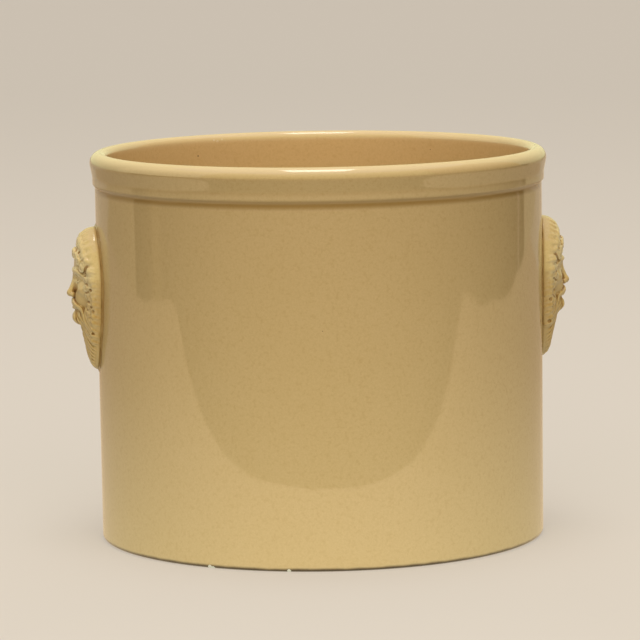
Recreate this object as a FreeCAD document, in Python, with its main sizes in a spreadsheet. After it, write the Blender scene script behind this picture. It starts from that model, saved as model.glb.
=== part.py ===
import FreeCAD, Part
import Sketcher
import math
import os

# Cachepot: a straight-sided glazed earthenware pot with a turned band at the rim and a bearded
# mask luted to the wall on each side. Millimetres, +Z up, origin at the centre of the foot,
# on the plane it stands on. The masks lie on +X and -X.

V = FreeCAD.Vector
ROT = FreeCAD.Rotation

doc = FreeCAD.newDocument("cachepot")

# ---------------------------------------------------------------- driving dimensions
SIZES = [
    # pot
    ("pot_high", 171.0, "foot plane to the crest of the lip"),
    ("lip_rad", 100.45, "outside radius of the lip, the widest part of the pot"),
    ("rim_rad", 99.3, "outside radius of the turned band's straight face"),
    ("neck_rad", 98.3, "outside radius of the wall just under the band"),
    ("foot_rad", 97.9, "outside radius of the wall at the foot"),
    ("lip_out", 4.6, "outer rounding of the lip"),
    ("lip_inn", 2.9, "inner rounding of the lip"),
    ("flare_drop", 10.8, "crest down to where the band starts to flare into the lip"),
    ("band_top_drop", 13.9, "crest down to the end of the band's straight face"),
    ("band_low_drop", 15.1, "crest down to the start of the plain wall"),
    ("band_round", 1.1, "rounding on the band's lower edge"),
    ("band_cove", 1.6, "cove where the band meets the wall"),
    ("bore_low", 91.0, "inside radius at the floor"),
    ("seat_high", 19.5, "height of the straight seat at the bottom of the bore"),
    ("foot_round", 1.6, "outer rounding of the foot"),
    ("foot_bevel", 1.2, "inner bevel of the foot"),
    # floor
    ("floor_low", 3.0, "recess under the floor"),
    ("floor_thick", 7.0, "thickness of the floor bat"),
    ("rebate_rad", 82.0, "inner edge of the seam rebate"),
    ("rebate_deep", 0.5, "depth of the seam rebate"),
    ("coil_rad", 9.0, "hollow of the seam coil"),
    ("coil_land", 0.4, "blunt edge of the seam coil"),
    # masks
    ("mask_mid", 107.3, "height of the middle of the mask"),
    ("mask_half", 31.8, "half the mask's height"),
    ("slip_thick", 0.4, "bed of slip between mask and wall"),
    ("root_x", 94.0, "plane inside the wall where the mask's sections start"),
    ("gauge", 0.15, "the wall's radius at the mask, less than at the band"),
]
sheet = doc.addObject("Spreadsheet::Sheet", "Dims")
for row, (name, value, note) in enumerate(SIZES, start=1):
    sheet.set("A%d" % row, name)
    sheet.set("B%d" % row, "%g" % value)
    sheet.setAlias("B%d" % row, name)
    sheet.set("C%d" % row, note)

# The mask's outline, one line for each horizontal section, from the beard's tip to the crown:
# height over the middle, half width, and how far the front stands off the wall.
SECTIONS = [
    (-31.8, 1.7, 1.3),
    (-30.0, 4.2, 3.0),
    (-25.5, 7.5, 4.0),
    (-19.0, 11.2, 4.7),
    (-12.0, 14.5, 6.2),
    (-5.0, 16.3, 8.1),
    (3.0, 17.2, 9.2),
    (11.0, 17.5, 9.9),
    (19.0, 16.2, 9.9),
    (25.0, 13.1, 8.6),
    (29.2, 8.8, 6.2),
    (31.8, 3.4, 2.6),
]
for k, (high, half, off) in enumerate(SECTIONS):
    row = len(SIZES) + 2 + k
    for col, tag, value in (("B", "high", high), ("C", "half", half), ("D", "off", off)):
        sheet.set("%s%d" % (col, row), "%g" % value)
        sheet.setAlias("%s%d" % (col, row), "sec%02d_%s" % (k, tag))
doc.recompute()


def dim(name):
    return float(sheet.get(name))


def origin_plane(body, role):
    return next(f for f in body.Origin.OriginFeatures if f.Role == role)


def profile(body, name, points, arcs=(), plane="XZ_Plane", offset=None):
    """A closed sketch through points, each (x expression, y expression). arcs maps the index of
    the side that starts at that point to (radius expression, centre guess, start point is first)."""
    sk = body.newObject("Sketcher::SketchObject", name)
    sk.AttachmentSupport = [(origin_plane(body, plane), "")]
    sk.MapMode = "FlatFace"
    if offset is not None:
        sk.AttachmentOffset = FreeCAD.Placement(V(0, 0, 0), ROT())
        sk.setExpression("AttachmentOffset.Base.z", offset)
    arcs = dict(arcs)

    def number(expr):
        names = {n: v for n, v, _ in SIZES}
        for k, (high, half, off) in enumerate(SECTIONS):
            names["sec%02d_high" % k] = high
            names["sec%02d_half" % k] = half
            names["sec%02d_off" % k] = off
        total, sign, left = 0.0, 1.0, expr.split()
        for word in left:
            if word in "+-":
                sign = 1.0 if word == "+" else -1.0
            else:
                total += sign * (names[word] if word in names else float(word))
                sign = 1.0
        return total

    def bound(expr):
        return " ".join(w if w in "+-" or w[0].isdigit() else "Dims." + w for w in expr.split())

    pts = [(number(x), number(y)) for x, y in points]
    n = len(pts)
    for i in range(n):
        a, b = pts[i], pts[(i + 1) % n]
        if i in arcs:
            radius, centre, forward = arcs[i]
            r, (cx, cy) = number(radius), (number(centre[0]), number(centre[1]))
            circle = Part.Circle(V(cx, cy, 0), V(0, 0, 1), r)
            s, e = (a, b) if forward else (b, a)
            a0 = math.atan2(s[1] - cy, s[0] - cx)
            a1 = math.atan2(e[1] - cy, e[0] - cx)
            if a1 < a0:
                a1 += 2 * math.pi
            sk.addGeometry(Part.ArcOfCircle(circle, a0, a1), False)
        else:
            sk.addGeometry(Part.LineSegment(V(a[0], a[1], 0), V(b[0], b[1], 0)), False)

    def first(i):
        return 1 if i not in arcs or arcs[i][2] else 2

    def last(i):
        return 2 if i not in arcs or arcs[i][2] else 1

    for i in range(n):
        j = (i + 1) % n
        sk.addConstraint(Sketcher.Constraint("Coincident", i, last(i), j, first(j)))
    for i, (x, y) in enumerate(points):
        for kind, expr, value in (("DistanceX", x, pts[i][0]), ("DistanceY", y, pts[i][1])):
            if abs(value) < 1e-9:
                on = -2 if kind == "DistanceX" else -1
                sk.addConstraint(Sketcher.Constraint("PointOnObject", i, first(i), on))
                continue
            c = sk.addConstraint(Sketcher.Constraint(kind, -1, 1, i, first(i), value))
            sk.renameConstraint(c, "%s_%s%d" % (name, kind[-1].lower(), i))
            sk.setExpression("Constraints.%s_%s%d" % (name, kind[-1].lower(), i), bound(expr))
    for i, (radius, centre, forward) in arcs.items():
        c = sk.addConstraint(Sketcher.Constraint("Radius", i, number(radius)))
        sk.renameConstraint(c, "%s_r%d" % (name, i))
        sk.setExpression("Constraints.%s_r%d" % (name, i), bound(radius))
    return sk


def turned(name, points, arcs=()):
    """A turned piece: its section revolved about the pot's axis."""
    body = doc.addObject("PartDesign::Body", name)
    body.Label = name
    sk = profile(body, name + "_section", points, arcs)
    doc.recompute()
    rev = body.newObject("PartDesign::Revolution", name + "_turned")
    rev.Profile = sk
    rev.ReferenceAxis = (sk, ["V_Axis"])
    rev.Angle = 360.0
    body.Tip = rev
    doc.recompute()
    return body, rev


# ---------------------------------------------------------------- wall, with band, lip and foot
wall, wall_rev = turned(
    "pot_wall",
    [
        ("bore_low + foot_bevel", "0"),
        ("foot_rad - foot_round", "0"),
        ("foot_rad", "foot_round"),
        ("neck_rad", "pot_high - band_low_drop"),
        ("rim_rad", "pot_high - band_top_drop"),
        ("rim_rad", "pot_high - flare_drop"),
        ("lip_rad", "pot_high - lip_out"),
        ("lip_rad - lip_out", "pot_high"),
        ("lip_rad - lip_out - lip_inn", "pot_high - lip_inn"),
        ("bore_low", "seat_high"),
        ("bore_low", "foot_bevel"),
    ],
    {
        1: ("foot_round", ("foot_rad - foot_round", "foot_round"), True),
        6: ("lip_out", ("lip_rad - lip_out", "pot_high - lip_out"), True),
        7: ("lip_inn", ("lip_rad - lip_out", "pot_high - lip_inn"), True),
    },
)


def ring_edges(shape, radius, high, tol=0.05):
    """Names of the circular edges about the axis at that radius and height."""
    found = []
    for i, e in enumerate(shape.Edges, start=1):
        box = e.BoundBox
        if abs(box.ZMin - high) < tol and abs(box.ZMax - high) < tol and abs(box.XMax - radius) < tol:
            found.append("Edge%d" % i)
    return found


cove = wall.newObject("PartDesign::Fillet", "band_cove_fillet")
cove.Base = (
    wall_rev,
    ring_edges(wall_rev.Shape, dim("neck_rad"), dim("pot_high") - dim("band_low_drop")),
)
cove.setExpression("Radius", "Dims.band_cove")
wall.Tip = cove
doc.recompute()
edge_round = wall.newObject("PartDesign::Fillet", "band_edge_fillet")
edge_round.Base = (
    cove,
    ring_edges(cove.Shape, dim("rim_rad"), dim("pot_high") - dim("band_top_drop")),
)
edge_round.setExpression("Radius", "Dims.band_round")
wall.Tip = edge_round
doc.recompute()

# ---------------------------------------------------------------- floor bat, luted inside the wall
floor, floor_rev = turned(
    "pot_floor",
    [
        ("0", "floor_low"),
        ("bore_low", "floor_low"),
        ("bore_low", "floor_low + floor_thick - rebate_deep"),
        ("rebate_rad", "floor_low + floor_thick - rebate_deep"),
        ("rebate_rad", "floor_low + floor_thick"),
        ("0", "floor_low + floor_thick"),
    ],
)

# ---------------------------------------------------------------- coil of clay pressed into the seam
coil, coil_rev = turned(
    "seam_coil",
    [
        ("bore_low", "floor_low + floor_thick - rebate_deep"),
        ("bore_low", "seat_high"),
        ("bore_low - coil_land", "seat_high"),
        ("rebate_rad", "floor_low + floor_thick + coil_land"),
        ("rebate_rad", "floor_low + floor_thick - rebate_deep"),
    ],
    {2: ("coil_rad", ("bore_low - coil_land - coil_rad", "seat_high"), False)},
)

# ---------------------------------------------------------------- mask
# Axes while it is built: +X out of the wall, Y across the face, Z up. Heights are over mask_mid.
mid = dim("mask_mid")
relief = doc.addObject("PartDesign::Body", "mask_relief")
sections = []
for k, (high, half, off) in enumerate(SECTIONS):
    name = "mask_section_%02d" % k
    sk = relief.newObject("Sketcher::SketchObject", name)
    sk.AttachmentSupport = [(origin_plane(relief, "XY_Plane"), "")]
    sk.MapMode = "FlatFace"
    sk.setExpression("AttachmentOffset.Base.z", "Dims.mask_mid + Dims.sec%02d_high" % k)
    x0, reach = dim("root_x"), dim("neck_rad") + off - dim("gauge") - dim("root_x")
    deep = reach >= half
    if deep:
        ell = Part.Ellipse(V(x0 + reach, 0, 0), V(x0, half, 0), V(x0, 0, 0))
        arc = Part.ArcOfEllipse(ell, -math.pi / 2, math.pi / 2)
    else:
        ell = Part.Ellipse(V(x0, half, 0), V(x0 - reach, 0, 0), V(x0, 0, 0))
        arc = Part.ArcOfEllipse(ell, math.pi, 2 * math.pi)
    sk.addGeometry(arc, False)
    s, e = arc.StartPoint, arc.EndPoint
    sk.addGeometry(Part.LineSegment(V(e.x, e.y, 0), V(s.x, s.y, 0)), False)
    sk.exposeInternalGeometry(0)
    out, across = (2, 3) if deep else (3, 2)
    sk.addConstraint(Sketcher.Constraint("Coincident", 0, 2, 1, 1))
    sk.addConstraint(Sketcher.Constraint("Coincident", 0, 1, 1, 2))
    # the centre sits on the X axis at root_x and the straight side runs through it, upright
    c = sk.addConstraint(Sketcher.Constraint("DistanceX", -1, 1, 0, 3, x0))
    sk.renameConstraint(c, "root")
    sk.setExpression("Constraints.root", "Dims.root_x")
    sk.addConstraint(Sketcher.Constraint("PointOnObject", 0, 3, -1))
    sk.addConstraint(Sketcher.Constraint("Vertical", 1))
    sk.addConstraint(Sketcher.Constraint("PointOnObject", 0, 3, 1))
    sk.addConstraint(Sketcher.Constraint("Horizontal", out))
    for line, label, value, expr in (
        (out, "reach", 2 * reach, "2 * (Dims.neck_rad + Dims.sec%02d_off - Dims.gauge - Dims.root_x)"),
        (across, "width", 2 * half, "2 * Dims.sec%02d_half"),
    ):
        c = sk.addConstraint(Sketcher.Constraint("Distance", line, value))
        sk.renameConstraint(c, label)
        sk.setExpression("Constraints." + label, expr % k)
    sections.append(sk)
doc.recompute()
loft = relief.newObject("PartDesign::AdditiveLoft", "mask_loft")
loft.Profile = sections[0]
loft.Sections = sections[1:]
loft.Ruled = False
loft.Closed = False
relief.Tip = loft
doc.recompute()


def spread(value, table):
    """Linear interpolation in a list of (position, value)."""
    for (a, fa), (b, fb) in zip(table, table[1:]):
        if a <= value <= b:
            return fa + (fb - fa) * (value - a) / (b - a)
    return table[0][1] if value < table[0][0] else table[-1][1]


OFF = [(h, o) for h, w, o in SECTIONS]
HALF = [(h, w) for h, w, o in SECTIONS]


def skin(y, z):
    """X of the relief's own front at that place."""
    half = spread(z, HALF)
    reach = dim("neck_rad") + spread(z, OFF) - dim("gauge") - dim("root_x")
    t = min(0.98, abs(y) / half)
    return dim("root_x") + reach * math.sqrt(1 - t * t)


def lump(name, y, z, stand, depth, across, tall, lean=0.0, turn=0.0):
    """An ellipsoid on the relief. stand is how far its front comes past the relief, lean turns it
    about the way out of the wall, and turn about the vertical."""
    o = doc.addObject("Part::Ellipsoid", name)
    o.Radius1, o.Radius2, o.Radius3 = tall, depth, across
    x = skin(y, z) + stand - depth
    o.Placement = FreeCAD.Placement(
        V(x, y, mid + z), ROT(V(1, 0, 0), lean).multiply(ROT(V(0, 0, 1), turn))
    )
    return o


lumps = []
for side, tag in ((1, "r"), (-1, "l")):
    lumps += [
        lump("brow_" + tag, side * 5.2, 11.9, 1.1, 2.4, 4.9, 1.5, -side * 8, side * 18),
        lump("eye_" + tag, side * 5.3, 8.9, 0.75, 2.3, 2.7, 1.75, 0, side * 18),
        lump("cheek_" + tag, side * 8.1, 3.6, 0.9, 3.6, 3.9, 3.4, 0, side * 26),
        lump("nostril_" + tag, side * 2.25, 1.9, 1.9, 2.2, 1.45, 1.5, 0, side * 15),
        lump("moustache_" + tag, side * 4.1, -2.3, 1.5, 2.6, 4.6, 1.65, -side * 24, side * 12),
        lump("jaw_beard_" + tag, side * 10.2, -5.6, 1.2, 3.2, 2.9, 6.4, side * 16, side * 30),
        lump("side_lock_" + tag, side * 7.6, -15.0, 0.9, 3.2, 2.9, 7.8, side * 20, side * 16),
        lump("tip_lock_" + tag, side * 3.2, -23.4, 0.7, 2.7, 2.3, 6.6, side * 13, side * 8),
        lump("temple_curl_" + tag, side * 14.2, 8.4, 1.0, 3.0, 2.5, 3.1, side * 8, side * 50),
        lump("ear_curl_" + tag, side * 14.3, 2.1, 1.1, 3.0, 2.5, 2.9, 0, side * 50),
        lump("cheek_curl_" + tag, side * 13.4, -3.9, 1.1, 2.9, 2.4, 2.8, 0, side * 46),
        lump("brow_curl_" + tag, side * 12.4, 15.1, 1.1, 3.2, 3.2, 3.0, side * 20, side * 40),
        lump("crown_curl_" + tag, side * 8.6, 20.9, 1.0, 3.3, 3.5, 3.1, side * 12, side * 24),
        lump("front_curl_" + tag, side * 2.9, 19.3, 1.2, 3.0, 2.9, 2.9, side * 14, side * 8),
        lump("top_curl_" + tag, side * 4.1, 25.9, 1.0, 3.1, 3.3, 2.5, side * 6, side * 10),
    ]
lumps += [
    lump("nose_bridge", 0, 7.6, 2.0, 3.8, 1.75, 5.4),
    lump("nose_tip", 0, 2.6, 3.9, 4.2, 2.0, 2.05),
    lump("lower_lip", 0, -4.6, 1.5, 2.4, 3.0, 1.15),
    lump("chin_beard", 0, -10.1, 1.9, 3.9, 4.3, 4.9),
    lump("middle_lock", 0, -18.4, 0.9, 3.4, 2.5, 8.3),
]
form = doc.addObject("Part::MultiFuse", "mask_form")
form.Shapes = [relief] + lumps
doc.recompute()

# The wall's outside as a cone, and the same cone with the slip's thickness added.
top_z = dim("pot_high") - dim("band_low_drop")


def wall_cone(name, extra):
    cone = doc.addObject("Part::Cone", name)
    slope = (dim("neck_rad") - dim("foot_rad")) / (top_z - dim("foot_round"))
    cone.Radius1 = dim("foot_rad") - slope * dim("foot_round") + extra
    cone.Radius2 = dim("neck_rad") + extra
    cone.setExpression("Height", "Dims.pot_high - Dims.band_low_drop")
    return cone


wall_face = wall_cone("wall_face", 0.0)
slip_face = wall_cone("slip_face", dim("slip_thick"))
mask_right = doc.addObject("Part::Cut", "mask_right")
mask_right.Base = form
mask_right.Tool = slip_face
off_wall = doc.addObject("Part::Cut", "mask_off_wall")
off_wall.Base = form
off_wall.Tool = wall_face
slip_right = doc.addObject("Part::Common", "slip_bed_right")
slip_right.Base = off_wall
slip_right.Tool = slip_face
doc.recompute()

# The second mask is a pressing from the same mould, half a turn round the pot.
half_turn = FreeCAD.Placement(V(0, 0, 0), ROT(V(0, 0, 1), 180))
mask_left = doc.addObject("Part::Compound", "mask_left")
mask_left.Links = [mask_right]
mask_left.Placement = half_turn
slip_left = doc.addObject("Part::Compound", "slip_bed_left")
slip_left.Links = [slip_right]
slip_left.Placement = half_turn
doc.recompute()

# ---------------------------------------------------------------- write
PIECES = [
    ("pot_wall", wall),
    ("pot_floor", floor),
    ("seam_coil", coil),
    ("mask_right", mask_right),
    ("mask_left", mask_left),
    ("slip_bed_right", slip_right),
    ("slip_bed_left", slip_left),
]
bad = [o.Name for o in doc.Objects if "Invalid" in o.State or "Error" in o.State]
if bad:
    raise SystemExit("these objects failed: %s" % bad)
for name, obj in PIECES:
    obj.Label = name
    shape = obj.Shape
    if shape.isNull() or not shape.isValid() or len(shape.Solids) != 1:
        raise SystemExit("%s is not one valid solid: %d" % (name, len(shape.Solids)))
os.makedirs("parts", exist_ok=True)
for name, obj in PIECES:
    obj.Shape.exportStep("parts/%s.step" % name)
    box = obj.Shape.BoundBox
    print(
        "%-15s %8.1f cm3  x %.2f..%.2f  y %.2f..%.2f  z %.2f..%.2f  faces %d"
        % (name, obj.Shape.Volume / 1000, box.XMin, box.XMax, box.YMin, box.YMax, box.ZMin, box.ZMax, len(obj.Shape.Faces))
    )
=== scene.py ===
import bpy
import math
import numpy as np
from mathutils import Matrix, Vector


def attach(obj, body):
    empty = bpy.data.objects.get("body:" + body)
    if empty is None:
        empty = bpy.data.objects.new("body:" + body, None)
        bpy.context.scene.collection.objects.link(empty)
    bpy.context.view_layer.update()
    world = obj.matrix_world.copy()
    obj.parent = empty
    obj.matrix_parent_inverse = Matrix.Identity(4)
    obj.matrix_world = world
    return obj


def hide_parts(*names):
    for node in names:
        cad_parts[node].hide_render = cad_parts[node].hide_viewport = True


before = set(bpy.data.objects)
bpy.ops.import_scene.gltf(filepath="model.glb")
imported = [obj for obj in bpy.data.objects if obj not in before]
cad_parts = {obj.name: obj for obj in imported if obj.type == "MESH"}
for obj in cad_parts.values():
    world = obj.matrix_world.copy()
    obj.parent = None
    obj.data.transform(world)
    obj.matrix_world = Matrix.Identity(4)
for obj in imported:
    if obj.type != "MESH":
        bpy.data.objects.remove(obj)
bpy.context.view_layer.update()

MM = 0.001

# The pot as measured, in millimetres; the origin is the middle of the foot.
HIGH, LIP_R, RIM_R, NECK_R, FOOT_R = 171.0, 100.45, 99.3, 98.3, 97.9
LIP_OUT, LIP_INN = 4.6, 2.9
BAND_TOP, BAND_LOW, FLARE = 13.9, 15.1, 10.6
BORE_TOP, BORE_LOW, SEAT = 92.95, 91.0, 19.5
FLOOR_LOW, FLOOR_TOP = 3.0, 10.0
MASK_MID = 107.3


def wall_r(z):
    """Outside radius of the plain wall."""
    return FOOT_R + (NECK_R - FOOT_R) * (np.asarray(z, float) - 1.6) / (HIGH - BAND_LOW - 1.6)


# ------------------------------------------------------------------ meshes
def mesh_object(name, verts_mm, faces, attrs=None):
    """An object from vertices in millimetres and quads or mixed faces, smooth shaded."""
    me = bpy.data.meshes.new(name)
    v = np.asarray(verts_mm, np.float64) * MM
    me.vertices.add(len(v))
    me.vertices.foreach_set("co", v.ravel())
    if isinstance(faces, np.ndarray):
        n = faces.shape[1]
        loops = faces.ravel().astype(np.int32)
        starts = np.arange(0, len(loops), n, dtype=np.int32)
    else:
        loops = np.fromiter((i for f in faces for i in f), np.int32)
        starts = np.cumsum([0] + [len(f) for f in faces[:-1]]).astype(np.int32)
    me.loops.add(len(loops))
    me.loops.foreach_set("vertex_index", loops)
    me.polygons.add(len(starts))
    me.polygons.foreach_set("loop_start", starts)
    me.update(calc_edges=True)
    me.polygons.foreach_set("use_smooth", np.ones(len(starts), bool))
    for key, values in (attrs or {}).items():
        at = me.attributes.new(key, "FLOAT", "POINT")
        at.data.foreach_set("value", np.asarray(values, np.float32))
    ob = bpy.data.objects.new(name, me)
    bpy.context.scene.collection.objects.link(ob)
    return ob


def rounded(points, seg=0.35):
    """A closed outline (r, z) through corners (r, z, radius), each corner rounded by its radius."""
    out = []
    n = len(points)
    for i in range(n):
        p0 = np.array(points[i - 1][:2], float)
        p1 = np.array(points[i][:2], float)
        p2 = np.array(points[(i + 1) % n][:2], float)
        rad = points[i][2]
        if rad <= 0:
            out.append(p1[None])
            continue
        a, b = p0 - p1, p2 - p1
        a /= np.linalg.norm(a)
        b /= np.linalg.norm(b)
        half = math.acos(max(-1, min(1, float(a @ b)))) / 2
        cut = rad / math.tan(half)
        mid = p1 + (a + b) / np.linalg.norm(a + b) * rad / math.sin(half)
        s, e = p1 + a * cut, p1 + b * cut
        t0 = math.atan2(s[1] - mid[1], s[0] - mid[0])
        t1 = math.atan2(e[1] - mid[1], e[0] - mid[0])
        while t1 - t0 > math.pi:
            t1 -= 2 * math.pi
        while t1 - t0 < -math.pi:
            t1 += 2 * math.pi
        m = max(3, int(abs(t1 - t0) * rad / seg) + 1)
        t = np.linspace(t0, t1, m)
        out.append(np.column_stack([mid[0] + rad * np.cos(t), mid[1] + rad * np.sin(t)]))
    return np.vstack(out)


def spaced(line, gap):
    """Adds points to a closed outline so that no side is longer than gap, given as gap(r, z)."""
    out = []
    for a, b in zip(line, np.roll(line, -1, 0)):
        d = float(np.linalg.norm(b - a))
        m = max(1, int(math.ceil(d / gap(*(0.5 * (a + b))))))
        out.append(a + (b - a) * (np.arange(m) / m)[:, None])
    return np.vstack(out)


def lathe(name, outline, segs, shape=None, attrs=None):
    """A ring turned from a closed outline (r, z) in millimetres that doesn't touch the axis.
    shape(r, ang, z) gives (dr, dz), the small unevenness of hand work."""
    n = len(outline)
    ang = np.arange(segs) * 2 * math.pi / segs
    r = outline[:, 0][None, :] * np.ones((segs, 1))
    z = outline[:, 1][None, :] * np.ones((segs, 1))
    a = ang[:, None] * np.ones((1, n))
    if shape:
        dr, dz = shape(r, a, z)
        r, z = r + dr, z + dz
    v = np.stack([r * np.cos(a), r * np.sin(a), z], -1).reshape(-1, 3)
    i = np.arange(segs)[:, None]
    j = np.arange(n)[None, :]
    i2, j2 = (i + 1) % segs, (j + 1) % n
    q = np.stack([i * n + j, i2 * n + j, i2 * n + j2, i * n + j2], -1).reshape(-1, 4)
    area = 0.5 * np.sum(outline[:, 0] * np.roll(outline[:, 1], -1) - np.roll(outline[:, 0], -1) * outline[:, 1])
    if area < 0:
        q = q[:, ::-1]
    at = {k: (f(r, a, z).ravel()) for k, f in (attrs or {}).items()}
    return mesh_object(name, v, q, at)


def dish(name, profile, segs, shape=None):
    """A turned piece that reaches the axis: profile runs from the axis out, round and back to it."""
    n = len(profile) - 2
    ang = np.arange(segs) * 2 * math.pi / segs
    inner = profile[1:-1]
    r = inner[:, 0][None, :] * np.ones((segs, 1))
    z = inner[:, 1][None, :] * np.ones((segs, 1))
    a = ang[:, None] * np.ones((1, n))
    if shape:
        dr, dz = shape(r, a, z)
        r, z = r + dr, z + dz
    v = np.stack([r * np.cos(a), r * np.sin(a), z], -1).reshape(-1, 3)
    top, bottom = len(v), len(v) + 1
    v = np.vstack([v, [[0, 0, profile[0][1]], [0, 0, profile[-1][1]]]])
    faces = []
    for i in range(segs):
        k = (i + 1) % segs
        faces.append((top, i * n, k * n))
        for j in range(n - 1):
            faces.append((i * n + j, i * n + j + 1, k * n + j + 1, k * n + j))
        faces.append((bottom, k * n + n - 1, i * n + n - 1))
    # facing outwards: the first fan looks up if the profile starts on top
    if profile[0][1] < profile[-1][1]:
        faces = [f[::-1] for f in faces]
    return mesh_object(name, v, faces)


def wave(ang, z, seed, rows=7):
    """A smooth uneven surface over angle and height, between about -1 and 1."""
    rng = np.random.RandomState(seed)
    out = 0.0
    for _ in range(rows):
        k = rng.randint(1, 6)
        out = out + rng.uniform(0.4, 1.0) * np.sin(k * ang + rng.uniform(0, 6.28) + z / rng.uniform(14.0, 60.0))
    return out / (0.7 * rows) ** 0.5 / 1.3


# ------------------------------------------------------------------ solid modelling on a grid
class Clay:
    """A block of distance values in a box of the mask's own axes: u across, v up, w out of the wall."""

    def __init__(self, lo, hi, step):
        self.lo = np.array(lo, np.float32)
        self.h = float(step)
        self.n = [int(math.ceil((b - a) / step)) + 1 for a, b in zip(lo, hi)]
        self.ax = [(self.lo[i] + np.arange(self.n[i], dtype=np.float32) * self.h).astype(np.float32) for i in range(3)]
        self.f = np.full(self.n, 9.0, np.float32)

    def window(self, lo, hi):
        s = []
        for i in range(3):
            a = int(max(0, math.floor((lo[i] - self.lo[i]) / self.h)))
            b = int(min(self.n[i], math.ceil((hi[i] - self.lo[i]) / self.h) + 1))
            if b <= a:
                return None
            s.append(slice(a, b))
        return tuple(s)

    def mesh(self, s):
        return np.meshgrid(self.ax[0][s[0]], self.ax[1][s[1]], self.ax[2][s[2]], indexing="ij", sparse=True)

    def merge(self, s, d, k, carve=False):
        a = self.f[s]
        if carve:
            d = -d
            m = np.maximum(a, d)
            if k > 0:
                e = np.maximum(k - np.abs(a - d), 0) / k
                m = m + e * e * (k * 0.25)
        else:
            m = np.minimum(a, d)
            if k > 0:
                e = np.maximum(k - np.abs(a - d), 0) / k
                m = m - e * e * (k * 0.25)
        self.f[s] = m

    def egg(self, c, r, k=0.8, carve=False, turn=(0.0, 0.0, 0.0)):
        """An ellipsoid. turn is in degrees about u, v and w."""
        big = max(r) + k + 1.2
        s = self.window([x - big for x in c], [x + big for x in c])
        if s is None:
            return
        x, y, z = self.mesh(s)
        x, y, z = x - c[0], y - c[1], z - c[2]
        if any(turn):
            a, b, g = (math.radians(t) for t in turn)
            ca, sa, cb, sb, cg, sg = math.cos(a), math.sin(a), math.cos(b), math.sin(b), math.cos(g), math.sin(g)
            x, y = x * cg + y * sg, y * cg - x * sg
            x, z = x * cb - z * sb, z * cb + x * sb
            y, z = y * ca + z * sa, z * ca - y * sa
        q0 = np.sqrt((x / r[0]) ** 2 + (y / r[1]) ** 2 + (z / r[2]) ** 2)
        q1 = np.sqrt((x / r[0] ** 2) ** 2 + (y / r[1] ** 2) ** 2 + (z / r[2] ** 2) ** 2) + 1e-6
        self.merge(s, (q0 * (q0 - 1.0) / q1).astype(np.float32), k, carve)

    def rod(self, a, b, ra, rb, k=0.5, carve=False):
        big = max(ra, rb) + k + 0.7
        lo = [min(p, q) - big for p, q in zip(a, b)]
        hi = [max(p, q) + big for p, q in zip(a, b)]
        s = self.window(lo, hi)
        if s is None:
            return
        x, y, z = self.mesh(s)
        dx, dy, dz = (q - p for p, q in zip(a, b))
        l2 = dx * dx + dy * dy + dz * dz + 1e-9
        t = np.clip(((x - a[0]) * dx + (y - a[1]) * dy + (z - a[2]) * dz) / l2, 0, 1)
        d = np.sqrt((x - a[0] - t * dx) ** 2 + (y - a[1] - t * dy) ** 2 + (z - a[2] - t * dz) ** 2) - (ra + t * (rb - ra))
        self.merge(s, d.astype(np.float32), k, carve)

    def strand(self, pts, rad, k=0.3, carve=False):
        """A tapering roll along a path. The roll is made whole first, so k rounds only its root."""
        pts = np.asarray(pts, np.float32)
        rad = np.asarray(rad, np.float32)
        big = float(rad.max()) + k + 0.7
        s = self.window(pts.min(0) - big, pts.max(0) + big)
        if s is None:
            return
        x, y, z = self.mesh(s)
        best = None
        for i in range(len(pts) - 1):
            a, e = pts[i], pts[i + 1] - pts[i]
            l2 = float(e @ e) + 1e-9
            t = np.clip(((x - a[0]) * e[0] + (y - a[1]) * e[1] + (z - a[2]) * e[2]) / l2, 0, 1)
            d = np.sqrt((x - a[0] - t * e[0]) ** 2 + (y - a[1] - t * e[1]) ** 2 + (z - a[2] - t * e[2]) ** 2) - (
                rad[i] + t * (rad[i + 1] - rad[i])
            )
            best = d if best is None else np.minimum(best, d)
        self.merge(s, best.astype(np.float32), k, carve)

    def soften(self, sigma):
        """Rounds every edge and hollow by about sigma mm, as a coat of glaze does."""
        q = sigma / self.h
        m = max(1, int(math.ceil(2.5 * q)))
        w = np.exp(-0.5 * (np.arange(-m, m + 1) / q) ** 2)
        w = (w / w.sum()).astype(np.float32)
        for axis in range(3):
            pad = [(0, 0)] * 3
            pad[axis] = (m, m)
            g = np.pad(self.f, pad, mode="edge")
            out = np.zeros_like(self.f)
            for j, ww in enumerate(w):
                sl = [slice(None)] * 3
                sl[axis] = slice(j, j + self.n[axis])
                out += ww * g[tuple(sl)]
            self.f = out

    def mend(self):
        """Closes pinches, where the surface would touch itself along an edge."""
        for _ in range(14):
            p, q = self.skin()
            e = np.sort(np.concatenate([q[:, [0, 1]], q[:, [1, 2]], q[:, [2, 3]], q[:, [3, 0]]]), 1).astype(np.int64)
            key, times = np.unique(e[:, 0] * len(p) + e[:, 1], return_counts=True)
            key = key[times != 2]
            if not len(key):
                break
            for x in p[np.unique(np.concatenate([key // len(p), key % len(p)]))]:
                i = np.round((x - self.lo) / self.h).astype(int)
                i = np.clip(i, 3, np.array(self.n) - 4)
                b = self.f[i[0] - 2 : i[0] + 3, i[1] - 2 : i[1] + 3, i[2] - 2 : i[2] + 3].copy()
                mean = sum(b[u : u + 3, v : v + 3, w : w + 3] for u in range(3) for v in range(3) for w in range(3)) / 27.0
                self.f[i[0] - 1 : i[0] + 2, i[1] - 1 : i[1] + 2, i[2] - 1 : i[2] + 2] = mean - 0.03 * self.h

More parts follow.
